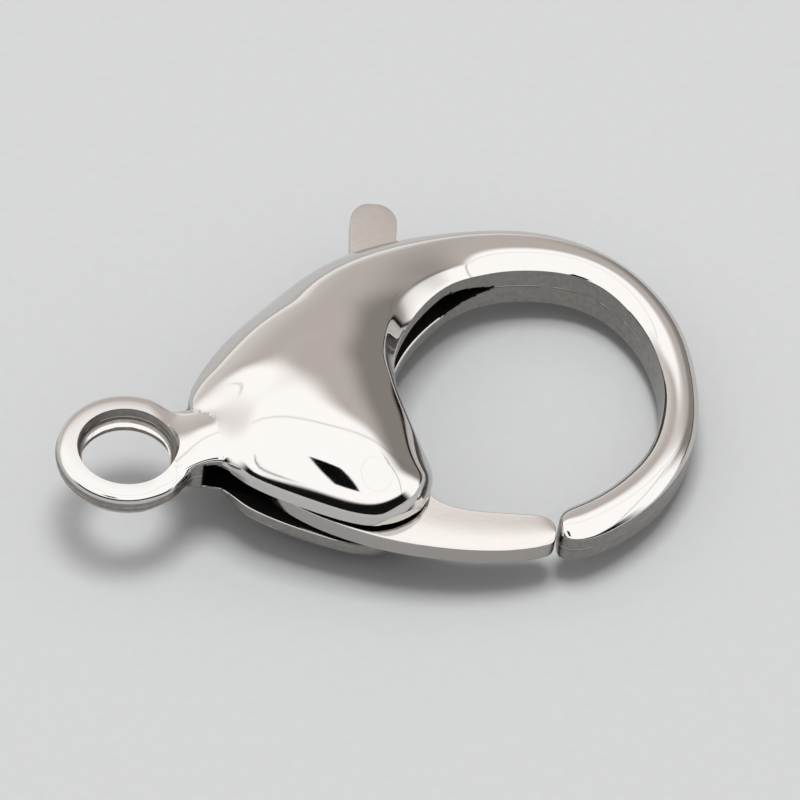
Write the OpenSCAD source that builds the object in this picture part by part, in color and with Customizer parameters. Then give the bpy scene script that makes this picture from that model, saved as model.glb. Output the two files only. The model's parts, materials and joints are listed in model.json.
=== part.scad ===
// Lobster clasp: a cast body with an end ring, a flat sprung lever that closes
// the hook, and the rivet that the lever turns on.
// The pieces are drawn flat in the clasp's own plane (x from ring to hook,
// y towards the thumb tab, z = 0 at mid thickness) and then laid on the table.

/* [Body] */
// Half thickness of the body at the top of its dome
dome_h = 3.9; // [3.4:0.05:4.2]
// Half thickness of the hook's arm at its crown
arm_h = 1.5; // [1.2:0.05:1.7]
// How square the crown's shoulders are
crown_power = 2.8; // [2.2:0.1:3.4]
// Tilt of the clasp as it lies on its belly, the hook end down
rest_tilt = 6; // [0:0.5:8]

/* [Ring] */
// Diameter of the hole in the end ring
hole_d = 4.84; // [4.4:0.02:5.2]
// Width of the ring's rim, measured from the hole outwards
rim_w = 1.18; // [0.9:0.02:1.3]
// Thickness of the ring at the hole
rim_h = 1.8; // [1.4:0.05:2.2]
// Chamfer at both ends of the hole
hole_chamfer = 0.06; // [0.03:0.01:0.15]

/* [Slot] */
// Height of the slot between the two cheeks
slot_h = 1.6; // [1.5:0.05:1.8]

/* [Lever] */
// Thickness of the lever plate
lever_t = 1.1; // [0.9:0.05:1.2]
// Width of the thumb tab
tab_w = 2.5; // [2.2:0.05:2.8]

/* [Rivet] */
// Diameter of the rivet
rivet_d = 1.6; // [1.2:0.05:2]
// Radial clearance of the rivet in the lever
run_gap = 0.05; // [0.02:0.01:0.1]
// Radial clearance of the rivet in the cheeks
seat_gap = 0.01; // [0.01:0.005:0.03]

/* [Hidden] */
$fn = 48;
steel = "#c9c6c2";
worn_steel = "#b9b6b1";
// Points across the crown, and steps between two rows of a table
across = 10;
steps = 3;
arc_steps = 12;
// Overlap that lets a cutter pass right through
past = 1;

// Ring centre and pivot in the clasp's own plane
ring_c = [-13.8, -5.04];
pivot = [-1.45, -7.5];
ring_r = hole_d / 2 + rim_w;
// Corners of the rim's section: share of its width from the hole outwards, and
// share of its half thickness
RIM = [[0.4, 1], [0.66, 0.84], [0.87, 0.56], [1, 0.22]];

// Columns of a section table: inner x, inner y, outer x, outer y, inner wall,
// outer wall, crown (0 as high as arm_h, 1 as high as dome_h), place of the
// crown from inner to outer. Flat ends close the first and the last section.
CLAW = [
    [ 1.45, -7.05,   1.10, -7.70, 1.20, 1.20,  0.04, 0.50],
    [ 1.55, -6.30,   0.40, -8.45, 1.35, 1.55,  0.33, 0.50],
    [ 1.40, -5.45,  -1.40, -9.20, 1.30, 1.75,  0.62, 0.50],
    [ 0.98, -4.20,  -4.30, -8.55, 1.20, 1.75,  0.83, 0.50],
    [ 0.42, -2.85,  -7.10, -7.45, 1.15, 1.65,  0.96, 0.50],
    [-0.08, -1.35,  -9.20, -5.95, 1.15, 1.45,  1.00, 0.47],
    [-0.38,  0.10, -10.20, -3.50, 1.20, 1.25,  1.00, 0.45],
    [-0.45,  1.35, -10.30, -1.10, 1.25, 1.25,  0.98, 0.44],
    [-0.15,  2.65,  -9.20,  1.60, 1.25, 1.45,  0.94, 0.44],
    [ 0.35,  3.90,  -7.50,  3.95, 1.20, 1.60,  0.83, 0.45],
    [ 1.00,  5.05,  -5.55,  6.30, 1.15, 1.60,  0.69, 0.46],
    [ 1.80,  6.15,  -3.30,  8.35, 1.10, 1.50,  0.50, 0.48],
    [ 2.80,  7.20,  -0.60,  9.90, 1.05, 1.35,  0.31, 0.50],
    [ 4.10,  8.00,   2.20, 11.00, 1.00, 1.15,  0.17, 0.50],
    [ 5.60,  8.50,   4.90, 11.65, 1.00, 1.00,  0.08, 0.50],
    [ 7.50,  8.68,   7.55, 11.70, 1.00, 0.95,  0.04, 0.50],
    [ 9.30,  8.45,  10.10, 10.90, 1.00, 0.95,  0.02, 0.50],
    [10.90,  7.60,  12.35,  9.25, 1.00, 0.95,  0.00, 0.50],
    [12.20,  6.10,  14.00,  6.95, 1.00, 0.95,  0.00, 0.50],
    [13.15,  4.10,  14.95,  4.45, 1.00, 0.95,  0.00, 0.50],
    [13.62,  1.60,  15.32,  1.35, 1.00, 0.95,  0.00, 0.50],
    [13.45, -0.70,  15.15, -1.55, 1.00, 0.95,  0.00, 0.50],
    [12.75, -2.90,  14.35, -3.95, 0.98, 0.92,  0.00, 0.50],
    [11.55, -4.70,  12.95, -6.15, 0.95, 0.88, -0.02, 0.50],
    [10.15, -6.05,  11.30, -7.80, 0.90, 0.82, -0.05, 0.50],
    [ 8.93, -6.87,   9.75, -8.85, 0.85, 0.76, -0.09, 0.50],
    [ 8.24, -7.44,   8.65, -9.15, 0.75, 0.68, -0.15, 0.50],
    [ 8.05, -8.05,   8.10, -8.85, 0.65, 0.60, -0.26, 0.50]
];
// Same columns: the neck, from inside the ring's rim to inside the dome
NECK = [
    [-12.10, -7.00, -12.30, -2.20, 0.50, 0.60, -0.30, 0.50],
    [-11.30, -6.45, -11.45, -1.98, 0.60, 0.80, -0.20, 0.55],
    [-10.60, -5.85, -10.75, -1.40, 0.80, 0.95, -0.10, 0.60],
    [ -9.95, -5.55, -10.05, -0.80, 1.00, 1.10,  0.00, 0.60],
    [ -9.20, -5.45,  -9.20, -0.50, 1.10, 1.20,  0.12, 0.55],
    [ -8.30, -5.40,  -8.30, -0.60, 1.20, 1.20,  0.20, 0.50]
];
// Corners of the slot's outline: it stops at the neck and at the arm's root
SLOT = [[-9.45, -11], [-9.45, -5.6], [-8.9, 2.6], [-11, 7], [-3, 13], [0.3, 13],
    [0.3, 10.6], [2.2, 9.75], [4.65, 8.75], [8.2, 6], [6, -11]];
// The lever's outer edge from the gate's end to its heel under the cheeks, its
// back up to the thumb tab, and its inner edge from the tab to the gate's end
GATE_OUT = [[6.4, -9.65], [5.4, -9.86], [3.4, -10], [0.8, -9.86],
    [-1.1, -9.52], [-3.1, -8.94], [-4.6, -8.3], [-5.8, -7.6], [-6.35, -7.14], [-6.6, -6.65]];
BACK = [[-6.4, -5.9], [-4.7, -4.4], [-3.4, -1.5], [-2.9, 3]];
GATE_IN = [[-0.6, 4], [-0.75, 1.2], [-0.45, -1.2], [0.25, -3.4], [0.95, -5.2],
    [1.4, -6.5], [2.2, -7.25], [3.2, -7.62], [4.3, -7.73], [5.6, -7.68]];
tab_x = -2.72;
tab_end_y = 13.35;
gate_nose = [7, -8.5];
gate_nose_r = 0.92;

// Smooth curve through four neighbours of a table, t from 0 to 1 between b and c
function smooth(a, b, c, d, t) =
    (2 * b + (c - a) * t + (2 * a - 5 * b + 4 * c - d) * t * t
        + (3 * b - a - 3 * c + d) * t * t * t) / 2;
function at(rows, i) = rows[max(0, min(len(rows) - 1, i))];
function fine(rows) = concat(
    [for (i = [0 : len(rows) - 2]) for (k = [0 : steps - 1])
        smooth(at(rows, i - 1), at(rows, i), at(rows, i + 1), at(rows, i + 2), k / steps)],
    [rows[len(rows) - 1]]);

// Points along an arc about c, from angle a to angle b
function arc(c, r, a, b) =
    [for (k = [0 : arc_steps]) let (g = a + (b - a) * k / arc_steps)
        c + r * [cos(g), sin(g)]];

// Share of the crown's rise at s, which runs from 0 at the inner edge to 1 outside
function rise(s, peak) =
    let (t = s < peak ? s / peak : (1 - s) / (1 - peak))
    1 - pow(1 - t, crown_power);
function crown_z(r, s) =
    let (wall = r[4] + (r[5] - r[4]) * s, top = arm_h + (dome_h - arm_h) * r[6])
    wall + (top - wall) * rise(s, r[7]);
function plan(r, s) = [r[0] + (r[2] - r[0]) * s, r[1] + (r[3] - r[1]) * s];
function share(j) = (1 - cos(180 * j / across)) / 2;

// One closed section: over the crown from inner to outer, and back below
function section(r) = concat(
    [for (j = [0 : across]) concat(plan(r, share(j)), [crown_z(r, share(j))])],
    [for (j = [across : -1 : 0]) concat(plan(r, share(j)), [-crown_z(r, share(j))])]);
ring_n = 2 * (across + 1);
function skin_points(rows) = [for (r = rows) each section(r)];
function skin_faces(count) = concat(
    [[for (k = [ring_n - 1 : -1 : 0]) k]],
    [for (i = [0 : count - 2]) for (k = [0 : ring_n - 1])
        let (a = i * ring_n + k, b = i * ring_n + (k + 1) % ring_n)
        each [[a, b, a + ring_n], [b, b + ring_n, a + ring_n]]],
    [[for (k = [0 : ring_n - 1]) (count - 1) * ring_n + k]]);

claw_rows = fine(CLAW);
neck_rows = fine(NECK);
claw_points = skin_points(claw_rows);

// How the clasp lies: turned by the rest tilt, lowest point on the table,
// the middle of its length and width at the origin
function laid_x(p) = p[0] * cos(rest_tilt) + p[2] * sin(rest_tilt);
function laid_z(p) = p[2] * cos(rest_tilt) - p[0] * sin(rest_tilt);
x_max = max([for (p = claw_points) laid_x(p)]);
x_min = laid_x([ring_c[0] - ring_r, 0, -RIM[3][1] * rim_h / 2]);
z_min = min([for (p = claw_points) laid_z(p)]);
y_max = tab_end_y;
y_min = min([for (p = GATE_OUT) p[1]]);
module laid() {
    translate([-(x_min + x_max) / 2, -(y_min + y_max) / 2, -z_min])
        rotate([0, rest_tilt, 0])
            children();
}

module skin(rows) {
    polyhedron(points = skin_points(rows), faces = skin_faces(len(rows)), convexity = 8);
}

// The end ring before its hole is cut
function rim_edge(side) =
    [for (p = RIM) [hole_d / 2 + rim_w * p[0], side * p[1] * rim_h / 2]];
function backwards(list) = [for (k = [len(list) - 1 : -1 : 0]) list[k]];
module ring_blank() {
    translate([ring_c[0], ring_c[1], 0])
        rotate_extrude()
            polygon(concat([[hole_d / 4, -rim_h / 2]], rim_edge(-1),
                backwards(rim_edge(1)), [[hole_d / 4, rim_h / 2]]));
}

module ring_hole() {
    depth = rim_h / 2 + past;
    translate([ring_c[0], ring_c[1], 0]) {
        cylinder(h = 2 * depth, d = hole_d, center = true);
        for (side = [0, 180])
            rotate([side, 0, 0])
                translate([0, 0, rim_h / 2 - hole_chamfer])
                    cylinder(h = past, d1 = hole_d, d2 = hole_d + 2 * past);
    }
}

// Outer form of the casting, before the slot and the holes
module form() {
    ring_blank();
    skin(neck_rows);
    skin(claw_rows);
}

module rivet_bar(r) {
    translate([pivot[0], pivot[1], 0])
        cylinder(h = 2 * (dome_h + past), r = r, center = true, $fn = 96);
}

module body() {
    color(steel)
        laid()
            difference() {
                form();
                ring_hole();
                linear_extrude(slot_h, center = true)
                    polygon(SLOT);
                rivet_bar(rivet_d / 2 + seat_gap);
            }
}

module lever_outline() {
    tab_r = tab_w / 2;
    polygon(concat(GATE_OUT, BACK, arc([tab_x + tab_r, tab_end_y - tab_r], tab_r, 180, 0),
        GATE_IN, arc(gate_nose, gate_nose_r, 80, -80)));
}

module lever() {
    color(worn_steel)
        laid()
            difference() {
                linear_extrude(lever_t, center = true)
                    lever_outline();
                rivet_bar(rivet_d / 2 + run_gap);
            }
}

module rivet() {
    color(steel)
        laid()
            intersection() {
                rivet_bar(rivet_d / 2);
                skin(claw_rows);
            }
}

body();
lever();
rivet();
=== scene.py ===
import json
import math
from collections import namedtuple

import bmesh
import bpy
from mathutils import Matrix, Vector


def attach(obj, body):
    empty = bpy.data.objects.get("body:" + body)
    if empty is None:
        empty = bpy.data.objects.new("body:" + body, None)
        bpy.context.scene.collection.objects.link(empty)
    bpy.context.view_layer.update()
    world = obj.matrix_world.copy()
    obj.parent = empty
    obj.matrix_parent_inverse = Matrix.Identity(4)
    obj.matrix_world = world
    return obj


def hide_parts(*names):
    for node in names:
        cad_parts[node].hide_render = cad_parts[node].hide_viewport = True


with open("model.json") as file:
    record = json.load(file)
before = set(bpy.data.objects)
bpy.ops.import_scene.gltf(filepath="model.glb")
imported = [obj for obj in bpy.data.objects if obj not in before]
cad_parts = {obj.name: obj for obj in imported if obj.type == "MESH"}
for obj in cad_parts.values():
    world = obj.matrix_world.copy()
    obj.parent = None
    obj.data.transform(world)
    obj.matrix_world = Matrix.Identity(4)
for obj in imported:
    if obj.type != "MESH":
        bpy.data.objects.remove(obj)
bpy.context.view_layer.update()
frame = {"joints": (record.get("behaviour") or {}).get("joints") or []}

# The clasp is drawn in its own flat plane, in millimetres: x from ring to hook, y towards the
# thumb tab, z = 0 at mid thickness. layDown turns it as it lies on its belly and makes it metres.
mm = 0.001
pivotPlace = Vector((-1.45, -7.5, 0))
hinge = frame["joints"][0]
hingeAxis = Vector(hinge["axis"])
hingePoint = Vector(hinge["pos_m"])
restTilt = math.atan2(hingeAxis.x, hingeAxis.z)
layTurn = Matrix.Rotation(restTilt, 4, "Y")
layMatrix = Matrix.Translation(hingePoint - layTurn @ (pivotPlace * mm)) @ layTurn @ Matrix.Scale(mm, 4)


def deselectAll():
    if bpy.context.mode != "OBJECT":
        bpy.ops.object.mode_set(mode="OBJECT")
    bpy.ops.object.select_all(action="DESELECT")


def pick(piece):
    deselectAll()
    piece.select_set(True)
    bpy.context.view_layer.objects.active = piece


def applyModifier(piece, kind, **settings):
    pick(piece)
    modifier = piece.modifiers.new(kind.lower(), kind)
    for name, value in settings.items():
        setattr(modifier, name, value)
    bpy.ops.object.modifier_apply(modifier=modifier.name)


# joins or cuts piece with other, which is then removed
def combine(piece, other, operation):
    applyModifier(piece, "BOOLEAN", object=other, operation=operation, solver="EXACT")
    print(piece.name, operation.lower(), other.name, len(piece.data.polygons), "faces")
    bpy.data.objects.remove(other)


def copyOf(piece, name):
    twin = piece.copy()
    twin.data = piece.data.copy()
    twin.name = name
    bpy.context.scene.collection.objects.link(twin)
    return twin


def layDown(piece):
    piece.matrix_world = layMatrix @ piece.matrix_world
    pick(piece)
    bpy.ops.object.transform_apply(location=True, rotation=True, scale=True)


# a cross-section: its inner and outer edge seen from above, the height of its two walls, its crown
# (0 arm, 1 dome) and where across the width that peaks, the width of the inner shoulder and how flat
# it is filed, how deep the inner wall goes below, how high the inner crown starts on its wall (0 at
# its top) and how square that side is
sectionRow = namedtuple("sectionRow", "innerX innerY outerX outerY innerWall outerWall crown peak shoulder"
                                      " flatness depth lift innerPower")


# rows with steps between each two, on a curve whose bend never jumps, for clean reflections
def throughRows(rows, steps):
    rounds = 14            # by then the curve goes through every row
    columns = range(len(rows[0]))
    knots = [list(row) for row in rows]
    for _ in range(rounds):
        for i in range(1, len(rows) - 1):
            for c in columns:
                reached = (knots[i - 1][c] + 4 * knots[i][c] + knots[i + 1][c]) / 6
                knots[i][c] += rows[i][c] - reached
    first = [2 * a - b for a, b in zip(knots[0], knots[1])]
    last = [2 * a - b for a, b in zip(knots[-1], knots[-2])]
    knots = [first] + knots + [last]
    made = []
    for i in range(1, len(knots) - 2):
        for k in range(steps):
            t = k / steps
            shares = ((1 - t) ** 3, 3 * t ** 3 - 6 * t ** 2 + 4, -3 * t ** 3 + 3 * t ** 2 + 3 * t + 1, t ** 3)
            four = knots[i - 1:i + 3]
            made.append(sectionRow(*[sum(s * row[c] for s, row in zip(shares, four)) / 6 for c in columns]))
    return made + [sectionRow(*rows[-1])]


# the crown's height at share s of the width; on the inner side it may stand on a ledge above the wall
def crownHeight(shape, row, s):
    wall = row.innerWall + (row.outerWall - row.innerWall) * s
    top = shape["armHeight"] + (shape["domeHeight"] - shape["armHeight"]) * row.crown
    if s < row.peak:
        foot = wall + (top - wall) * row.lift
        return foot + (top - foot) * (1 - (1 - s / row.peak) ** row.innerPower)
    return wall + (top - wall) * (1 - (1 - (1 - s) / (1 - row.peak)) ** shape["crownPower"])


# one closed section: up the inner wall, over the crown, and the mirror of it below
def sectionOf(shape, row):
    widestShoulder = 0.3   # share of the width
    deepShare = 0.4        # share of the width over which the underside comes up from the deeper wall
    firstTurn = 0.12       # the crown's points crowd towards its outer edge, less so at its inner one
    innerEdge, outerEdge = Vector((row.innerX, row.innerY)), Vector((row.outerX, row.outerY))
    shoulder = min(row.shoulder / (outerEdge - innerEdge).length, widestShoulder)
    count = shape["crownPoints"]
    start = (1 - math.cos(math.pi * firstTurn)) / 2
    places = [shoulder / 2, shoulder]
    for k in range(1, count):
        eased = (1 - math.cos(math.pi * (firstTurn + (1 - firstTurn) * k / count))) / 2
        places.append(shoulder + (1 - shoulder) * (eased - start) / (1 - start))
    ledge = crownHeight(shape, row, shoulder)
    side = [(0, row.innerWall * shape["wallLoop"]), (0, row.innerWall)]
    for s in places:
        z = crownHeight(shape, row, s)
        if s < shoulder:
            z += ((row.innerWall + ledge) / 2 - z) * row.flatness
        side.append((s, z))
    side += [(1, row.outerWall), (1, row.outerWall * shape["wallLoop"])]
    below = [(s, -z - (row.depth - row.innerWall) * max(0, 1 - s / deepShare)) for s, z in reversed(side)]
    loop = [(0, 0)] + side + [(1, 0)] + below
    return [Vector((*(innerEdge + (outerEdge - innerEdge) * s), z)) for s, z in loop]


# a loop of vertices, extruded row by row; the long edges at its corners are creased
def sweep(name, shape, rows):
    deselectAll()
    sections = [sectionOf(shape, row) for row in rows]
    size = len(sections[0])
    bpy.ops.mesh.primitive_circle_add(vertices=size, radius=1, fill_type="NGON")
    piece = bpy.context.object
    piece.name = name
    bpy.ops.object.mode_set(mode="EDIT")
    shaped = bmesh.from_edit_mesh(piece.data)
    shaped.verts.ensure_lookup_table()
    loop = list(range(size))
    loops = []
    for number, section in enumerate(sections):
        if number:
            bpy.ops.mesh.extrude_region_move()
            shaped = bmesh.from_edit_mesh(piece.data)
            shaped.verts.ensure_lookup_table()
            shaped.verts.index_update()
            place = {}
            for vertex in shaped.verts:
                if vertex.select:
                    for edge in vertex.link_edges:
                        behind = edge.other_vert(vertex)
                        if not behind.select:
                            place[behind.index] = vertex.index
            loop = [place[i] for i in loop]
        for i, point in zip(loop, section):
            shaped.verts[i].co = point
        loops.append(loop)
    crease = shaped.edges.layers.float.new("crease_edge")
    # points of a section, counted up the inner wall: 2 is its top, 4 the end of the shoulder
    corners = ((2, "innerCrease"), (size // 2 - 2, "outerCrease"), (size // 2 + 2, "outerCrease"),
               (size - 2, "innerCrease"), (4, "ledgeCrease"), (size - 4, "ledgeCrease"))
    for number, (near, far) in enumerate(zip(loops, loops[1:])):
        fade = min(1, number / shape["roundedRows"])
        for place, kind in corners:
            sharp = shape[kind] * fade * (min(1, rows[number].flatness) if kind == "ledgeCrease" else 1)
            if sharp > 0:
                edge = shaped.edges.get((shaped.verts[near[place]], shaped.verts[far[place]]))
                edge[crease] = min(1, sharp)
    bmesh.update_edit_mesh(piece.data)
    bpy.ops.mesh.select_all(action="SELECT")
    bpy.ops.mesh.normals_make_consistent(inside=False)
    bpy.ops.object.mode_set(mode="OBJECT")
    return piece


claw = {
    "domeHeight": 3.9,     # half thickness at the top of the dome
    "armHeight": 1.5,      # half thickness of the arm at its crown
    "crownPower": 2.8,     # how square the crown's shoulders are
    "crownPoints": 8,
    "wallLoop": 0.62,      # a loop on the wall that keeps it upright
    "innerCrease": 0.6,    # how crisp the edges between walls and crown are
    "outerCrease": 0.12,
    "ledgeCrease": 0.9,    # and where the shoulder meets the crown
    "roundedRows": 4,      # sections from the heel over which those edges grow crisp
    # from the heel round the dome and the arm to the hook's tip, in sectionRow's columns
    "rows": [
        [1.36, -7.20, 1.08, -7.72, 1.15, 1.15, -0.10, 0.50, 0.15, 0, 1.20, 0, 2.0],
        [1.53, -6.35, 0.45, -8.40, 1.36, 1.30, 0.12, 0.50, 0.30, 0, 1.35, 0, 2.4],
        [1.40, -5.45, -1.40, -9.20, 1.35, 1.40, 0.50, 0.54, 0.40, 0, 1.35, 0, 2.1],
        [0.98, -4.20, -4.30, -8.55, 1.30, 1.48, 0.80, 0.54, 0.40, 0.4, 1.35, 0.20, 2.3],
        [0.42, -2.85, -7.10, -7.45, 1.30, 1.50, 0.96, 0.50, 0.40, 0.7, 1.35, 0.36, 2.4],
        [-0.08, -1.35, -9.15, -5.75, 1.30, 1.45, 1.00, 0.47, 0.40, 0.8, 1.40, 0.38, 2.4],
        [-0.38, 0.10, -9.95, -3.40, 1.45, 1.15, 0.99, 0.45, 0.50, 0.85, 1.55, 0.36, 2.4],
        [-0.45, 1.35, -11.05, -1.75, 1.62, 0.85, 0.95, 0.43, 0.62, 1, 1.67, 0.28, 2.3],
        [-0.15, 2.65, -9.40, 1.60, 1.72, 1.45, 0.92, 0.44, 0.85, 1, 1.74, 0.16, 2.1],
        [0.35, 3.90, -7.50, 3.95, 1.75, 1.60, 0.78, 0.45, 0.95, 1, 1.75, 0.10, 2.0],
        [1.00, 5.05, -5.55, 6.30, 1.75, 1.60, 0.64, 0.46, 0.95, 1, 1.75, 0.18, 1.9],
        [1.80, 6.15, -3.30, 8.35, 1.68, 1.50, 0.46, 0.47, 0.85, 1, 1.70, 0.34, 1.9],
        [2.80, 7.20, -0.60, 9.90, 1.45, 1.32, 0.25, 0.46, 0.70, 1, 1.55, 0.42, 1.9],
        [4.10, 8.00, 2.20, 10.95, 1.22, 1.12, 0.09, 0.42, 0.55, 0.9, 1.40, 0.30, 2.0],
        [5.60, 8.50, 4.90, 11.58, 1.18, 1.00, 0.05, 0.38, 0.45, 0, 1.30, 0, 2.1],
        [7.50, 8.68, 7.55, 11.65, 1.20, 0.95, 0.05, 0.38, 0.45, 0, 1.25, 0, 2.0],
        [9.30, 8.45, 10.10, 10.90, 1.20, 0.95, 0.04, 0.40, 0.40, 0, 1.25, 0, 2.0],
        [10.90, 7.60, 12.40, 9.28, 1.16, 0.95, 0.02, 0.44, 0.35, 0, 1.22, 0, 2.2],
        [12.20, 6.10, 14.08, 6.99, 1.02, 0.95, 0.00, 0.48, 0.30, 0, 1.15, 0, 2.8],
        [13.15, 4.10, 15.04, 4.47, 1.00, 0.95, 0.00, 0.50, 0.30, 0, 1.08, 0, 2.8],
        [13.62, 1.60, 15.42, 1.35, 1.00, 0.95, 0.00, 0.50, 0.28, 0, 1.00, 0, 2.8],
        [13.45, -0.70, 15.25, -1.57, 1.00, 0.95, 0.00, 0.50, 0.28, 0, 1.00, 0, 2.8],
        [12.75, -2.90, 14.44, -4.00, 0.98, 0.92, 0.00, 0.50, 0.28, 0, 0.98, 0, 2.8],
        [11.55, -4.70, 13.03, -6.21, 0.95, 0.88, -0.02, 0.50, 0.28, 0, 0.95, 0, 2.8],
        [10.15, -6.05, 11.35, -7.86, 0.90, 0.82, -0.05, 0.50, 0.28, 0, 0.90, 0, 2.8],
        [8.93, -6.87, 9.78, -8.90, 0.85, 0.76, -0.09, 0.50, 0.25, 0, 0.85, 0, 2.8],
        [8.16, -7.40, 8.58, -9.20, 0.86, 0.80, -0.12, 0.50, 0.20, 0, 0.75, 0, 2.8],
        [7.93, -7.98, 7.98, -8.88, 0.80, 0.76, -0.17, 0.50, 0.12, 0, 0.65, 0, 2.8],
    ],
    "stepsBetween": 2,     # sections for each row
    "slotHeight": 1.6,
    # the slot seen from above; beyond the body's edge it only has to clear it
    "slot": [(-11.2, -11), (-10.9, -8), (-10.4, -7), (-10.05, -6.2), (-9.6, -5.2), (-9.3, -4), (-8.9, 2.6),
             (-11, 7), (-3, 13), (0.3, 13), (0.3, 10.6), (2.2, 9.75), (4.65, 8.75), (8.2, 6), (6, -11)],
    # x and half height where it tapers off in the arm
    "slotEnd": [(2.2, 0.8), (4.3, 0.5), (5.15, 0.02)],
    "edge": 0.09,          # rounding of the cut edges
    "drillLength": 12,
}
neck = {
    "domeHeight": 3.9,
    "armHeight": 1.5,
    "crownPower": 2.4,
    "crownPoints": 8,
    "wallLoop": 0.62,
    "innerCrease": 0.3,
    "outerCrease": 0.2,
    "ledgeCrease": 0,
    "roundedRows": 1,
    "stepsBetween": 2,
    "rows": [
        [-12.10, -6.80, -12.30, -2.30, 0.30, 0.30, -0.40, 0.60, 0.30, 0, 0.30, 0, 1.9],
        [-11.30, -6.40, -11.45, -2.20, 0.52, 0.45, -0.28, 0.60, 0.30, 0, 0.50, 0, 1.9],
        [-10.60, -6.15, -10.75, -2.10, 0.82, 0.60, -0.12, 0.58, 0.30, 0, 0.80, 0, 1.9],
        [-9.95, -5.98, -10.05, -2.00, 1.08, 0.70, 0.02, 0.55, 0.30, 0, 1.05, 0, 1.9],
        [-9.20, -5.92, -9.20, -1.95, 1.25, 0.80, 0.14, 0.50, 0.30, 0, 1.20, 0, 1.9],
        [-8.30, -6.10, -8.30, -1.95, 1.35, 0.90, 0.26, 0.45, 0.30, 0, 1.30, 0, 1.9],
    ],
    # where the neck flows into the dome: x and reach, the share that the far side gets, and y below
    # which and over which it grows to the whole
    "blendAt": -9.9,
    "blendReach": 2.2,
    "farShare": 0.10,
    "nearBelow": -2.9,
    "nearOver": 0.9,
    "blendBelow": -1.2,
    # where it flows into the ring
    "ringAt": -11.9,
    "ringReach": 0.9,
    "ringShare": 0.6,
    "blendGain": 1.8,
    "blendRounds": 60,
}
ring = {
    "centre": Vector((-13.86, -4.86, 0)),
    "bore": 2.42,          # radius
    "width": 1.14,
    "height": 0.62,        # half thickness
    "sides": 72,
    "drillSides": 144,
    # the rim's profile, as shares of width and height
    "rim": [(0.0, 1.0), (0.5, 1.0), (0.74, 0.98), (0.83, 0.92), (0.90, 0.76), (0.95, 0.45), (1.0, 0.1)],
    # height and how far the hole's wall stands back, for the upper and lower half of the mould,
    # which was a little out of line
    "upperHole": [(1.3, 0.5), (0.66, 0.11), (0.61, 0.05), (0.54, 0.03), (0.2, 0.04), (-0.02, 0.03),
                  (-0.14, -0.03), (-0.24, -0.14), (-0.32, -0.32)],
    "lowerHole": [(-0.27, -0.06), (-0.56, -0.06), (-0.66, 0.06), (-1.3, 0.4)],
    "lowerShift": Vector((0.05, -0.32, 0)),
}
rivet = {
    "radius": 0.8,
    "fit": 0.004,          # gap to the cheeks all round
    "edgeClear": 0.3,      # round its hole, where the slot's edges stay sharp
}


# a round solid on an upright axis: a disc extruded up its profile, each ring at its radius
def turned(profile, centre, sides):
    deselectAll()
    radius, height = profile[0]
    bpy.ops.mesh.primitive_circle_add(vertices=sides, radius=radius, fill_type="NGON",
                                      location=centre + Vector((0, 0, height)))
    bpy.ops.object.transform_apply(location=True, rotation=True, scale=True)
    bpy.ops.object.mode_set(mode="EDIT")
    bpy.ops.mesh.select_all(action="SELECT")
    for nextRadius, nextHeight in profile[1:]:
        bpy.ops.mesh.extrude_region_move(TRANSFORM_OT_translate={"value": (0, 0, nextHeight - height)})
        scale = nextRadius / radius
        bpy.ops.transform.resize(value=(scale, scale, 1), center_override=centre)
        radius, height = nextRadius, nextHeight
    bpy.ops.mesh.select_all(action="SELECT")
    bpy.ops.mesh.normals_make_consistent(inside=False)
    bpy.ops.object.mode_set(mode="OBJECT")
    return bpy.context.object


# the end ring before its hole is cut
def ringBlank():
    upper = [(ring["bore"] / 2, ring["height"])]
    upper += [(ring["bore"] + ring["width"] * s, ring["height"] * z) for s, z in ring["rim"]]
    return turned([(r, -z) for r, z in upper] + upper[::-1], ring["centre"], ring["sides"])


def bar(centre, radius, height):
    deselectAll()
    bpy.ops.mesh.primitive_cylinder_add(vertices=128, radius=radius, depth=height, location=centre)
    bpy.ops.object.transform_apply(location=True, rotation=True, scale=True)
    return bpy.context.object


# the neck flows into ring and dome, most on its near side: its vertices are smoothed by weight
def blendNeck(form):
    group = form.vertex_groups.new(name="neck_blend")
    for vertex in form.data.vertices:
        x, y = vertex.co.xy
        along = max(0, 1 - abs(x - neck["blendAt"]) / neck["blendReach"])
        near = min(1, max(0, (neck["nearBelow"] - y) / neck["nearOver"]))
        across = neck["farShare"] + (1 - neck["farShare"]) * near
        weight = along * across if y < neck["blendBelow"] else 0
        weight = max(weight, neck["ringShare"] * (1 - abs(x - neck["ringAt"]) / neck["ringReach"]))
        if weight > 0:
            group.add([vertex.index], min(1, weight * neck["blendGain"]), "REPLACE")
    applyModifier(form, "SMOOTH", factor=0.5, iterations=neck["blendRounds"], vertex_group="neck_blend")


# the cast form of the body before its slot and holes are cut
def buildForm():
    form = sweep("cast_form", claw, throughRows(claw["rows"], claw["stepsBetween"]))
    applyModifier(form, "SUBSURF", levels=2, render_levels=2)
    neckForm = sweep("neck", neck, throughRows(neck["rows"], neck["stepsBetween"]))
    applyModifier(neckForm, "SUBSURF", levels=2, render_levels=2)
    ringForm = ringBlank()
    applyModifier(ringForm, "SUBSURF", levels=1, render_levels=1)
    combine(form, neckForm, "UNION")
    combine(form, ringForm, "UNION")
    blendNeck(form)
    return form


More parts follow.
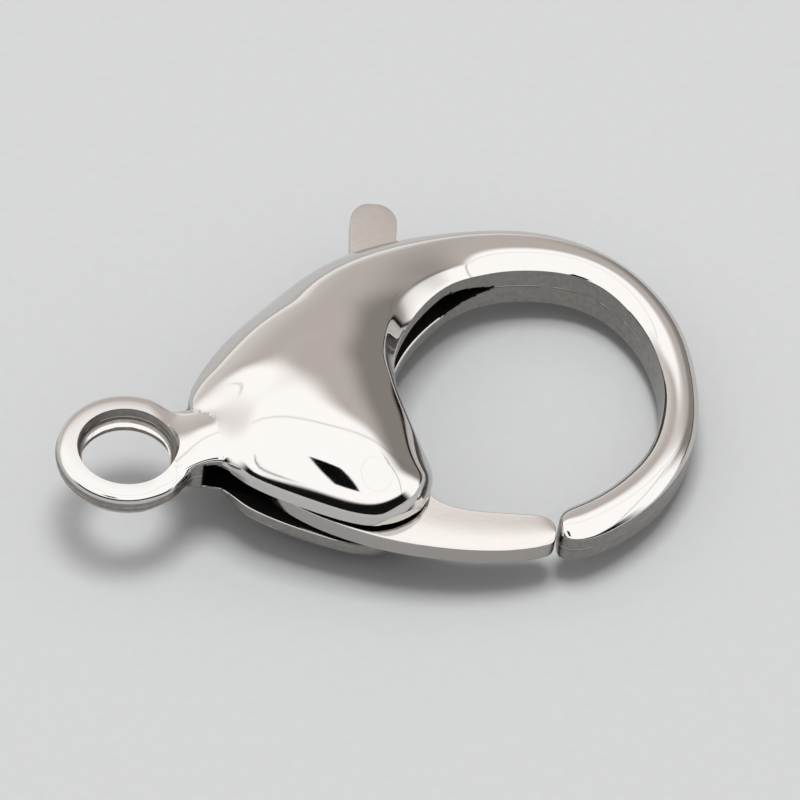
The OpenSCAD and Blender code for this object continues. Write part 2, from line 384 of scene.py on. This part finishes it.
# a flat plate of an outline, extruded upwards
def plate(outline, low, high):
    deselectAll()
    bpy.ops.mesh.primitive_circle_add(vertices=len(outline), radius=1, fill_type="NGON")
    piece = bpy.context.object
    for vertex, (x, y) in zip(piece.data.vertices, outline):
        vertex.co = (x, y, low)
    bpy.ops.object.mode_set(mode="EDIT")
    bpy.ops.mesh.select_all(action="SELECT")
    bpy.ops.mesh.extrude_region_move(TRANSFORM_OT_translate={"value": (0, 0, high - low)})
    bpy.ops.mesh.select_all(action="SELECT")
    bpy.ops.mesh.normals_make_consistent(inside=False)
    bpy.ops.object.mode_set(mode="OBJECT")
    return piece


finishing = {
    "holeReach": 0.25,     # from the ring's bore, where steep faces are the hole's wall
    "holeSteep": 0.8,      # the upright part of a face's normal that makes it steep there
    "steep": 0.28,         # and elsewhere
    "wallTop": 1.75,       # height where walls end
    # upright walls get the darker colour as painted shade; the lower cheek's wall keeps it, the upper cheek's
    # is polished and bright
    "cheekBelow": -4,      # the upper cheek's wall is polished too, below this y and between
    "cheekFrom": -9,       # these x
    "cheekTo": 2,
    "slotLevel": 0.01,     # how far a face may be off the slot's roof or floor
    "slotReach": 0.03,     # and off its walls
    "slotSquare": 0.3,     # and how far turned from them
}
polishedFace, castAndShadeFace, slotFace = 0, 1, 2


# what a face of the body is: wall of the slot, other steep wall that no wheel reaches, or the rest
def finishAndShadeOf(point, normal):
    half = claw["slotHeight"] / 2
    if (point - ring["centre"]).xy.length < ring["bore"] + finishing["holeReach"]:
        return castAndShadeFace if abs(normal.z) < finishing["holeSteep"] else polishedFace
    # the upper cheek's wall is polished and bright, the lower one keeps the darker colour as painted shade
    alongCheek = finishing["cheekFrom"] < point.x < finishing["cheekTo"]
    if point.y < finishing["cheekBelow"] and alongCheek and point.z > half:
        return polishedFace
    level = finishing["slotLevel"]
    if abs(point.z) < half + level and normal.z * point.z < -level:
        return slotFace
    if abs(normal.z) > finishing["steep"]:
        return polishedFace
    if abs(point.z) > half:
        return castAndShadeFace if abs(point.z) < finishing["wallTop"] else polishedFace
    for a, b in zip(claw["slot"], claw["slot"][1:] + claw["slot"][:1]):
        along = Vector((b[0] - a[0], b[1] - a[1]))
        way = point.xy - Vector(a)
        share = way.dot(along) / along.length_squared
        square = abs(normal.xy.dot(along)) < finishing["slotSquare"] * along.length
        if square and 0 <= share <= 1 and (way - along * share).length < finishing["slotReach"]:
            return slotFace
    return castAndShadeFace


# slot, rivet hole and ring hole cut into a copy of the form, then the slot's edges rounded
def buildBody(form):
    body = copyOf(form, "clasp_body")
    half = claw["slotHeight"] / 2
    cutter = plate(claw["slot"], -half, half)
    pick(cutter)
    bpy.ops.object.mode_set(mode="EDIT")
    for (startX, startHalf), (endX, endHalf) in zip(claw["slotEnd"], claw["slotEnd"][1:]):
        for side in (1, -1):
            bpy.ops.mesh.select_all(action="SELECT")
            bpy.ops.mesh.bisect(plane_co=(startX, 0, side * startHalf), use_fill=True, clear_outer=True,
                                plane_no=(startHalf - endHalf, 0, side * (endX - startX)))
    bpy.ops.mesh.select_all(action="SELECT")
    bpy.ops.mesh.normals_make_consistent(inside=False)
    bpy.ops.object.mode_set(mode="OBJECT")
    combine(body, cutter, "DIFFERENCE")
    combine(body, bar(pivotPlace, rivet["radius"] + rivet["fit"], claw["drillLength"]), "DIFFERENCE")
    drills = []
    for hole, centre in (("upperHole", ring["centre"]), ("lowerHole", ring["centre"] + ring["lowerShift"])):
        profile = [(ring["bore"] + back, z) for z, back in ring[hole]]
        drills.append(turned(profile, centre, ring["drillSides"]))
    combine(drills[0], drills[1], "UNION")
    combine(body, drills[0], "DIFFERENCE")
    weights = body.data.attributes.new("bevel_weight_edge", "FLOAT", "EDGE")
    sides = {}             # whether the faces beside each edge are walls of the slot
    for face in body.data.polygons:
        for key in face.edge_keys:
            sides.setdefault(key, set()).add(finishAndShadeOf(face.center, face.normal) == slotFace)
    rivetClear = rivet["radius"] + rivet["edgeClear"]
    for edge in body.data.edges:
        place = body.data.vertices[edge.vertices[0]].co - pivotPlace
        cut = len(sides[edge.key]) == 2 and place.xy.length >= rivetClear
        weights.data[edge.index].value = 1 if cut else 0
    applyModifier(body, "BEVEL", width=claw["edge"], segments=2, limit_method="WEIGHT",
                  use_clamp_overlap=False)
    return body


# the rivet, cut off and polished flush with the cheeks
def buildRivet(form):
    pin = bar(pivotPlace, rivet["radius"], claw["drillLength"])
    pin.name = "rivet_pin"
    combine(pin, copyOf(form, "cutter"), "INTERSECT")
    return pin


# the lever's flat blank, from the gate's end past the rivet to the thumb tab
leverBlank = {
    "domeHeight": 0.55,
    "armHeight": 0.55,
    "crownPower": 2.0,
    "crownPoints": 6,
    "wallLoop": 0.55,
    "innerCrease": 0.5,
    "outerCrease": 0.3,
    "ledgeCrease": 0,
    "roundedRows": 1,
    "stepsBetween": 2,
    "rows": [
        [7.82, -8.30, 7.82, -8.72, 0.50, 0.50, 0, 0.5, 0.08, 0, 0.50, 0, 2.0],
        [7.68, -7.90, 7.68, -9.10, 0.52, 0.50, 0, 0.5, 0.15, 0, 0.52, 0, 2.0],
        [7.34, -7.60, 7.34, -9.36, 0.53, 0.50, 0, 0.5, 0.20, 0, 0.53, 0, 2.0],
        [6.75, -7.48, 6.80, -9.54, 0.54, 0.50, 0, 0.5, 0.20, 0, 0.54, 0, 2.0],
        [5.60, -7.50, 5.50, -9.84, 0.54, 0.50, 0, 0.5, 0.20, 0, 0.54, 0, 2.0],
        [4.30, -7.50, 3.40, -10.0, 0.54, 0.50, 0, 0.5, 0.20, 0, 0.54, 0, 2.0],
        [3.20, -7.42, 1.60, -9.93, 0.54, 0.50, 0, 0.5, 0.20, 0, 0.54, 0, 2.0],
        [2.20, -7.15, 0.00, -9.74, 0.54, 0.50, 0, 0.5, 0.20, 0, 0.54, 0, 2.0],
        [1.40, -6.50, -1.90, -9.32, 0.54, 0.52, 0, 0.5, 0.20, 0, 0.54, 0, 2.0],
        [0.95, -5.20, -4.40, -8.38, 0.54, 0.53, 0, 0.5, 0.20, 0, 0.54, 0, 2.0],
        [0.25, -3.40, -6.35, -7.14, 0.54, 0.54, 0, 0.5, 0.20, 0, 0.54, 0, 2.0],
        [-0.10, -2.40, -6.45, -5.95, 0.54, 0.54, 0, 0.5, 0.20, 0, 0.54, 0, 2.0],
        [-0.45, -1.20, -4.70, -4.40, 0.54, 0.54, 0, 0.5, 0.20, 0, 0.54, 0, 2.0],
        [-0.68, 0.30, -3.75, -2.40, 0.54, 0.54, 0, 0.5, 0.20, 0, 0.54, 0, 2.0],
        [-0.72, 1.40, -3.25, -0.60, 0.54, 0.54, 0, 0.5, 0.20, 0, 0.54, 0, 2.0],
        [-0.67, 2.80, -3.00, 1.80, 0.54, 0.54, 0, 0.5, 0.20, 0, 0.54, 0, 2.0],
        [-0.60, 4.40, -2.85, 4.00, 0.54, 0.54, 0, 0.5, 0.20, 0, 0.54, 0, 2.0],
        [-0.40, 8.00, -2.76, 8.00, 0.54, 0.54, 0, 0.5, 0.20, 0, 0.54, 0, 2.0],
        [-0.24, 11.4, -2.72, 11.4, 0.54, 0.54, 0, 0.5, 0.20, 0, 0.54, 0, 2.0],
        [-0.24, 12.2, -2.72, 12.2, 0.54, 0.54, 0, 0.5, 0.20, 0, 0.54, 0, 2.0],
        [-0.42, 12.76, -2.54, 12.76, 0.54, 0.54, 0, 0.5, 0.20, 0, 0.54, 0, 2.0],
        [-0.86, 13.19, -2.10, 13.19, 0.54, 0.54, 0, 0.5, 0.15, 0, 0.54, 0, 2.0],
        [-1.26, 13.33, -1.70, 13.33, 0.52, 0.52, 0, 0.5, 0.10, 0, 0.52, 0, 2.0],
    ],
    "bore": 0.85,          # radius of its hole for the rivet
    "drillLength": 4,
    "shearedSteep": 0.25,  # the upright part of a face's normal under which it is a sheared edge
}


def buildLever():
    lever = sweep("thumb_lever", leverBlank, throughRows(leverBlank["rows"], leverBlank["stepsBetween"]))
    applyModifier(lever, "SUBSURF", levels=2, render_levels=2)
    combine(lever, bar(pivotPlace, leverBlank["bore"], leverBlank["drillLength"]), "DIFFERENCE")
    return lever


# an sRGB colour written as in a paint program, made linear
def paint(code):
    shares = [int(code[i:i + 2], 16) / 255 for i in (1, 3, 5)]
    return tuple(c / 12.92 if c <= 0.04045 else ((c + 0.055) / 1.055) ** 2.4 for c in shares) + (1,)


# adds one node with its settings, values on its sockets and the links into them
def addNode(tree, kind, settings=None, values=None, links=None):
    node = tree.nodes.new(kind)
    for name, value in (settings or {}).items():
        setattr(node, name, value)
    for name, value in (values or {}).items():
        node.inputs[name].default_value = value
    for name, source in (links or {}).items():
        tree.links.new(source, node.inputs[name])
    return node


def perMillimetre(size):
    return 1 / (size * mm)


# sizes and depths in mm; a noise shows its finest grain at about a third of its scale
steel = {
    "polished": "#cbc9c6",
    "polishedRoughness": (0.035, 0.085),
    "hazeSize": 1.4,       # faint cloudy haze of the polishing wheel
    "waveSize": 2.6,       # between the slow waves that hand polishing leaves
    "waveDepth": 0.0016,
    "pitSpacing": 3.1,     # between the few pits left by casting
    "pitRadius": 0.04,
    "pitDepth": 0.008,
    # the unpolished walls: grain, stains and dullness are the casting's, the darker colour is painted shade
    "cast": "#928e8a",
    "castStain": "#86827e",
    "castRoughness": (0.29, 0.36),
    "castGrain": 0.48,     # the skin that the mould leaves
    "castDepth": 0.010,
    "stainSize": 0.35,
    "partingWidth": 0.06,  # half the width of the mould's parting line
    "partingDepth": 0.05,
    "partingPatch": 0.9,   # between the places where that line is filed off
    # the slot's walls: painted shade, near black for the dark inside the narrow slot
    "slot": "#211e1c",
    "scale": "#161413",
    "slotRoughness": 0.6,
    "tumbled": "#cbc7c3",
    "tumbledRoughness": (0.07, 0.12),
    "tumbleGrain": 0.36,   # marks of the tumbling chips, a little coarser than real so they show
    "tumbleDepth": 0.0012,
    # the lever's sheared walls: the fine lines are the shearing's, the darker colour is painted shade
    "sheared": "#aba7a3",
    "shearedRoughness": (0.12, 0.22),
    "shearGrain": 0.3,     # the fine lines across the sheared edges
    "shearStretch": 0.08,  # their width as a share of their length
    "shearDepth": 0.003,
}
noiseSpan = {"From Min": 0.3, "From Max": 0.7}     # most of a noise's values lie in it


def newMaterial(name):
    material = bpy.data.materials.new(name)
    material.use_nodes = True
    material.node_tree.nodes.clear()
    return material, material.node_tree


# Cast stainless steel, polished on a cloth wheel: a bright warm grey mirror with slow waves,
# a few casting pits and faint wheel haze
def polishedSteel():
    material, tree = newMaterial("polished_cast_stainless_steel")
    place = addNode(tree, "ShaderNodeTexCoord").outputs["Object"]
    haze = addNode(tree, "ShaderNodeTexNoise", values={"Scale": perMillimetre(steel["hazeSize"]),
                   "Detail": 5}, links={"Vector": place})
    low, high = steel["polishedRoughness"]
    roughness = addNode(tree, "ShaderNodeMapRange", values={"From Min": 0.35, "From Max": 0.7,
                        "To Min": low, "To Max": high}, links={"Value": haze.outputs["Fac"]})
    wave = addNode(tree, "ShaderNodeTexNoise", values={"Scale": perMillimetre(steel["waveSize"]),
                   "Detail": 1.5}, links={"Vector": place})
    waved = addNode(tree, "ShaderNodeBump", values={"Strength": 1, "Distance": steel["waveDepth"] * mm},
                    links={"Height": wave.outputs["Fac"]})
    cells = addNode(tree, "ShaderNodeTexVoronoi", values={"Scale": perMillimetre(steel["pitSpacing"])},
                    links={"Vector": place})
    pit = addNode(tree, "ShaderNodeMapRange", {"interpolation_type": "SMOOTHSTEP"},
                  {"From Min": 0.2 * steel["pitRadius"] / steel["pitSpacing"],
                   "From Max": steel["pitRadius"] / steel["pitSpacing"], "To Min": 0, "To Max": 1},
                  {"Value": cells.outputs["Distance"]})
    pitted = addNode(tree, "ShaderNodeBump", values={"Strength": 1, "Distance": steel["pitDepth"] * mm},
                     links={"Height": pit.outputs["Result"], "Normal": waved.outputs["Normal"]})
    shader = addNode(tree, "ShaderNodeBsdfPrincipled", values={"Metallic": 1,
                     "Base Color": paint(steel["polished"])},
                     links={"Roughness": roughness.outputs["Result"], "Normal": pitted.outputs["Normal"]})
    addNode(tree, "ShaderNodeOutputMaterial", links={"Surface": shader.outputs["BSDF"]})
    return material


# The same casting where no wheel reaches, inside the hook, the slot and the ring's hole: the mould's grainy
# skin, dull, and its colour darker as painted shade on these upright walls
def castSteelWithPaintedShade():
    material, tree = newMaterial("unpolished_cast_stainless_steel_with_painted_shade")
    place = addNode(tree, "ShaderNodeTexCoord").outputs["Object"]
    grain = addNode(tree, "ShaderNodeTexNoise", values={"Scale": perMillimetre(steel["castGrain"]),
                    "Detail": 6, "Roughness": 0.6}, links={"Vector": place})
    low, high = steel["castRoughness"]
    roughness = addNode(tree, "ShaderNodeMapRange", values={**noiseSpan, "To Min": low, "To Max": high},
                        links={"Value": grain.outputs["Fac"]})
    bump = addNode(tree, "ShaderNodeBump", values={"Strength": 1, "Distance": steel["castDepth"] * mm},
                   links={"Height": grain.outputs["Fac"]})
    # the mould's parting line, half way up the walls, filed off here and there
    middle = addNode(tree, "ShaderNodeVectorMath", {"operation": "SUBTRACT"}, {1: hingePoint}, {0: place})
    height = addNode(tree, "ShaderNodeVectorMath", {"operation": "DOT_PRODUCT"}, {1: hingeAxis},
                     {0: middle.outputs["Vector"]})
    off = addNode(tree, "ShaderNodeMath", {"operation": "ABSOLUTE"}, links={0: height.outputs["Value"]})
    line = addNode(tree, "ShaderNodeMapRange", {"interpolation_type": "SMOOTHSTEP"},
                   {"From Min": 0, "From Max": steel["partingWidth"] * mm, "To Min": 1, "To Max": 0},
                   {"Value": off.outputs[0]})
    patch = addNode(tree, "ShaderNodeTexNoise", values={"Scale": perMillimetre(steel["partingPatch"]),
                    "Detail": 2}, links={"Vector": place})
    kept = addNode(tree, "ShaderNodeMapRange", values={"From Min": 0.42, "From Max": 0.5},
                   links={"Value": patch.outputs["Fac"]})
    ridge = addNode(tree, "ShaderNodeMath", {"operation": "MULTIPLY"},
                    links={0: line.outputs["Result"], 1: kept.outputs["Result"]})
    parted = addNode(tree, "ShaderNodeBump", values={"Strength": 1, "Distance": steel["partingDepth"] * mm},
                     links={"Height": ridge.outputs[0], "Normal": bump.outputs["Normal"]})
    stain = addNode(tree, "ShaderNodeTexNoise", values={"Scale": perMillimetre(steel["stainSize"]),
                    "Detail": 5, "Roughness": 0.65}, links={"Vector": place})
    spread = addNode(tree, "ShaderNodeMapRange", values={"From Min": 0.4, "From Max": 0.62},
                     links={"Value": stain.outputs["Fac"]})
    tone = addNode(tree, "ShaderNodeMix", {"data_type": "RGBA"}, {6: paint(steel["cast"]),
                   7: paint(steel["castStain"])}, {0: spread.outputs["Result"]})
    shader = addNode(tree, "ShaderNodeBsdfPrincipled", values={"Metallic": 1}, links={
                     "Base Color": tone.outputs[2], "Roughness": roughness.outputs["Result"],
                     "Normal": parted.outputs["Normal"]})
    addNode(tree, "ShaderNodeOutputMaterial", links={"Surface": shader.outputs["BSDF"]})
    return material


# The lever's edges as the press sheared them: duller than its faces, with fine lines across, and darker in
# colour as painted shade on these upright walls
def shearedSteelWithPaintedShade():
    material, tree = newMaterial("sheared_stainless_steel_with_painted_shade")
    place = addNode(tree, "ShaderNodeTexCoord").outputs["Object"]
    drawn = addNode(tree, "ShaderNodeMapping", values={"Scale": (1, 1, steel["shearStretch"])},
                    links={"Vector": place})
    lines = addNode(tree, "ShaderNodeTexNoise", values={"Scale": perMillimetre(steel["shearGrain"]),
                    "Detail": 3}, links={"Vector": drawn.outputs["Vector"]})
    low, high = steel["shearedRoughness"]
    roughness = addNode(tree, "ShaderNodeMapRange", values={**noiseSpan, "To Min": low, "To Max": high},
                        links={"Value": lines.outputs["Fac"]})
    bump = addNode(tree, "ShaderNodeBump", values={"Strength": 1, "Distance": steel["shearDepth"] * mm},
                   links={"Height": lines.outputs["Fac"]})
    shader = addNode(tree, "ShaderNodeBsdfPrincipled", values={"Metallic": 1,
                     "Base Color": paint(steel["sheared"])},
                     links={"Roughness": roughness.outputs["Result"], "Normal": bump.outputs["Normal"]})
    addNode(tree, "ShaderNodeOutputMaterial", links={"Surface": shader.outputs["BSDF"]})
    return material


# The walls of the slot, where neither wheel nor chips reach: painted shade, near-black colours that stand for
# the dark inside the narrow slot, mottled by the casting's grain
def paintedSlotShade():
    material, tree = newMaterial("stainless_steel_with_painted_slot_shade")
    place = addNode(tree, "ShaderNodeTexCoord").outputs["Object"]
    grain = addNode(tree, "ShaderNodeTexNoise", values={"Scale": perMillimetre(steel["castGrain"]),
                    "Detail": 6, "Roughness": 0.6}, links={"Vector": place})
    tone = addNode(tree, "ShaderNodeMix", {"data_type": "RGBA"}, {6: paint(steel["slot"]),
                   7: paint(steel["scale"])}, {0: grain.outputs["Fac"]})
    bump = addNode(tree, "ShaderNodeBump", values={"Strength": 1, "Distance": steel["castDepth"] * mm},
                   links={"Height": grain.outputs["Fac"]})
    shader = addNode(tree, "ShaderNodeBsdfPrincipled", values={"Metallic": 1,
                     "Roughness": steel["slotRoughness"]},
                     links={"Base Color": tone.outputs[2], "Normal": bump.outputs["Normal"]})
    addNode(tree, "ShaderNodeOutputMaterial", links={"Surface": shader.outputs["BSDF"]})
    return material


# Stamped stainless steel, tumbled with chips: soft satin sheen, its fine marks run every way
def tumbledSteel():
    material, tree = newMaterial("tumbled_stainless_steel")
    place = addNode(tree, "ShaderNodeTexCoord").outputs["Object"]
    grain = addNode(tree, "ShaderNodeTexNoise", values={"Scale": perMillimetre(steel["tumbleGrain"]),
                    "Detail": 4}, links={"Vector": place})
    low, high = steel["tumbledRoughness"]
    roughness = addNode(tree, "ShaderNodeMapRange", values={**noiseSpan, "To Min": low, "To Max": high},
                        links={"Value": grain.outputs["Fac"]})
    bump = addNode(tree, "ShaderNodeBump", values={"Strength": 1, "Distance": steel["tumbleDepth"] * mm},
                   links={"Height": grain.outputs["Fac"]})
    shader = addNode(tree, "ShaderNodeBsdfPrincipled", values={"Metallic": 1,
                     "Base Color": paint(steel["tumbled"])},
                     links={"Roughness": roughness.outputs["Result"], "Normal": bump.outputs["Normal"]})
    addNode(tree, "ShaderNodeOutputMaterial", links={"Surface": shader.outputs["BSDF"]})
    return material


# what stands round the clasp; the tent's colours are light, in linear shares
studio = {
    "cardLight": "#7f8080",
    "cardDark": "#7b7c7c",
    "cardGrain": 0.6,                  # mm
    "cardSize": 3,                     # m
    "tent": (1.62, 1.60, 1.61),        # the white tent
    "back": (0.75, 0.685, 0.655),      # the unlit wall behind the clasp
    "backLow": (0.36, 0.33, 0.31),     # its lower right part
    "backLeft": (0.95, 0.90, 0.87),    # its lower left part
    "foot": (1.30, 1.26, 1.23),        # the card that curves up to it
    "seam": (0.2, 0.19, 0.18),
    "seamHalf": 0.012,                 # half the width of a seam
    "room": (0.01, 0.01, 0.01),        # the dark room outside
    "lens": (0.004, 0.004, 0.004),     # the opening that the camera looks through
    "lensAt": (-165, 51),              # its direction from the clasp: azimuth and height in degrees
    "lensAlong": (0.43, -0.75, -0.50),
    "lensTip": 0.29,                   # its pointed ends, along that
    "lensFlank": (0.17, 0.21),         # its blunt corners, along and across
    "lensSoft": 0.014,
    "keyWatts": 4,
    "keySize": 0.18,
    "keyPlace": (0.01, 0.02, 0.45),
}


# Coated card: a pale matte sheet with the finest grain
def floorCard():
    material, tree = newMaterial("coated_card")
    place = addNode(tree, "ShaderNodeTexCoord").outputs["Object"]
    grain = addNode(tree, "ShaderNodeTexNoise", values={"Scale": perMillimetre(studio["cardGrain"]),
                    "Detail": 3}, links={"Vector": place})
    tone = addNode(tree, "ShaderNodeMix", {"data_type": "RGBA"}, {6: paint(studio["cardDark"]),
                   7: paint(studio["cardLight"])}, {0: grain.outputs["Fac"]})
    shader = addNode(tree, "ShaderNodeBsdfPrincipled", values={"Roughness": 0.75, "Sheen Weight": 1,
                     "Sheen Roughness": 0.3}, links={"Base Color": tone.outputs[2]})
    addNode(tree, "ShaderNodeOutputMaterial", links={"Surface": shader.outputs["BSDF"]})
    return material


# a plane is a direction, the level along it from which a patch shows, and half its soft edge;
# a seam shows between two planes
def between(direction, level):
    half = studio["seamHalf"]
    opposite = tuple(-c for c in direction)
    return [(direction, level - half, half * 0.6), (opposite, -level - half, half * 0.6)]


# the patches of the tent, each as colour, strength and the planes that bound it
def tentPatches():
    azimuth, height = (math.radians(a) for a in studio["lensAt"])
    level = math.cos(height)
    aim = Vector((math.sin(azimuth) * level, math.cos(azimuth) * level, math.sin(height)))
    along = Vector(studio["lensAlong"])
    along = (along - aim * along.dot(aim)).normalized()
    across = aim.cross(along)
    tip = along * studio["lensTip"]
    flank = along * studio["lensFlank"][0] - across * studio["lensFlank"][1]
    corners = [aim + way for way in (tip, flank, -tip, -flank)]
    sides = [b.cross(a).normalized() for a, b in zip(corners, corners[1:] + corners[:1])]
    return [
        # the unlit wall behind, its right and its left half
        (studio["back"], 1, [((0.30, 1, -0.174), 0.57, 0.07)]),
        (studio["back"], 1, [((-0.19, 1, -0.174), 0.56, 0.07)]),
        (studio["backLow"], 1, [((0.55, 0, -1), -0.25, 0.2), ((1, 0, 0), 0.25, 0.2), ((0, 1, 0), 0.3, 0.15)]),
        (studio["backLeft"], 1, [((-1, 0, 0), 0.15, 0.2), ((0, 0, -1), -0.45, 0.25), ((0, 1, 0), 0.3, 0.15)]),
        (studio["foot"], 1, [((-1, 0, 0), -0.2, 0.2), ((0, 0, -1), -0.10, 0.1), ((0, 1, 0), 0.4, 0.2)]),
        # seams of the tent: along its top, at its left front and at its right
        (studio["seam"], 0.3, between((-0.101, 0.994, 0.037), 0.448) + [((1, 0, 0), -0.72, 0.05)]),
        (studio["seam"], 0.75, between((0.0, -0.37, 1.0), 0.686)
         + [((-1, 0, 0), 0.5, 0.08), ((0, -1, 0), 0.3, 0.08)]),
        (studio["seam"], 0.6, between((0.752, 0.477, -0.455), 0.303)
         + [((1, 0, 0), -0.1, 0.05), ((0, -1, 0), -0.4, 0.04)]),
        (studio["lens"], 1, [(tuple(side), 0, studio["lensSoft"]) for side in sides]),
        # the dark room under the tent's front edge, and the gap at the foot of the wall
        (studio["room"], 1, [((0, 0, -1), -0.34, 0.04), ((0, -1, 0), 0.3, 0.15)]),
        (studio["room"], 1, [((0, 0, -1), -0.06, 0.03), ((1, 0, 0), 0.30, 0.08), ((0, 1, 0), 0.2, 0.1)]),
    ]


# the tent is the world: every patch is mixed over those before it
def buildTent():
    world = bpy.data.worlds.new("light_tent")
    bpy.context.scene.world = world
    world.use_nodes = True
    tree = world.node_tree
    tree.nodes.clear()
    way = addNode(tree, "ShaderNodeTexCoord").outputs["Generated"]
    light = addNode(tree, "ShaderNodeBackground", values={"Color": studio["tent"] + (1,), "Strength": 1})
    seen = None
    for colour, strength, planes in tentPatches():
        share = None
        for direction, level, soft in planes:
            along = addNode(tree, "ShaderNodeVectorMath", {"operation": "DOT_PRODUCT"}, {1: direction},
                            {0: way})
            edge = addNode(tree, "ShaderNodeMapRange", {"interpolation_type": "SMOOTHSTEP"},
                           {"From Min": level - soft, "From Max": level + soft, "To Max": strength},
                           {"Value": along.outputs["Value"]})
            if share:
                tree.links.new(share, edge.inputs["To Max"])
            share = edge.outputs["Result"]
        patch = addNode(tree, "ShaderNodeMix", {"data_type": "RGBA"},
                        {6: studio["tent"] + (1,), 7: colour + (1,)}, {0: share})
        if seen:
            tree.links.new(seen, patch.inputs[6])
        seen = patch.outputs[2]
    tree.links.new(seen, light.inputs["Color"])
    addNode(tree, "ShaderNodeOutputWorld", links={"Surface": light.outputs["Background"]})


# a softbox above, which lights the card and the shadow but isn't seen in the steel
def buildKey():
    lamp = bpy.data.lights.new("softbox", "AREA")
    lamp.energy = studio["keyWatts"]
    lamp.size = studio["keySize"]
    softbox = bpy.data.objects.new("softbox", lamp)
    bpy.context.scene.collection.objects.link(softbox)
    softbox.location = studio["keyPlace"]
    softbox.rotation_euler = (-Vector(studio["keyPlace"])).to_track_quat("-Z", "Y").to_euler()
    softbox.visible_glossy = False


print("modelling the clasp")
form = buildForm()
body = buildBody(form)
pin = buildRivet(form)
lever = buildLever()
bpy.data.objects.remove(form)

print("finishing the steel")
polished = polishedSteel()
for piece, finish in ((body, polished), (pin, polished), (lever, tumbledSteel())):
    piece.data.materials.clear()
    piece.data.materials.append(finish)
# the upright walls take the darker colour, painted shade on them
body.data.materials.append(castSteelWithPaintedShade())
# the slot's walls painted near black, as painted shade
body.data.materials.append(paintedSlotShade())
for face in body.data.polygons:
    face.material_index = finishAndShadeOf(face.center, face.normal)
lever.data.materials.append(shearedSteelWithPaintedShade())
# the lever's upright walls take the darker colour, painted shade on them
for face in lever.data.polygons:
    face.material_index = 1 if abs(face.normal.z) < leverBlank["shearedSteep"] else 0

smoothAngle = math.radians(35)
for piece, bodyName, node, slotName in ((body, "clasp", "body", "polished_steel"),
                                        (pin, "clasp", "rivet", "polished_steel"),
                                        (lever, "lever", "lever", "satin_steel")):
    pick(piece)
    bpy.ops.object.shade_smooth_by_angle(angle=smoothAngle)
    layDown(piece)
    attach(piece, bodyName)
    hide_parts(node)
    print("laid down", piece.name, len(piece.data.polygons), "faces")

print("setting up the studio")
deselectAll()
bpy.ops.mesh.primitive_plane_add(size=studio["cardSize"], location=(0, 0, 0))
floor = bpy.context.object
floor.name = "floor"
floor.data.materials.append(floorCard())
buildTent()
buildKey()
bpy.context.scene.view_settings.view_transform = "Standard"

# the camera as fitted to the photo
view = {
    "sensor": 36,
    "lens": 175.05,
    "place": (0.000991627, -0.132887, 0.154424),
    "tilt": 41,            # degrees up from looking straight down
}
camData = bpy.data.cameras.new("camera")
camera = bpy.data.objects.new("camera", camData)
bpy.context.scene.collection.objects.link(camera)
bpy.context.scene.camera = camera
camData.sensor_width = view["sensor"]
camData.lens = view["lens"]
camera.location = view["place"]
camera.rotation_euler = (math.radians(view["tilt"]), 0, 0)
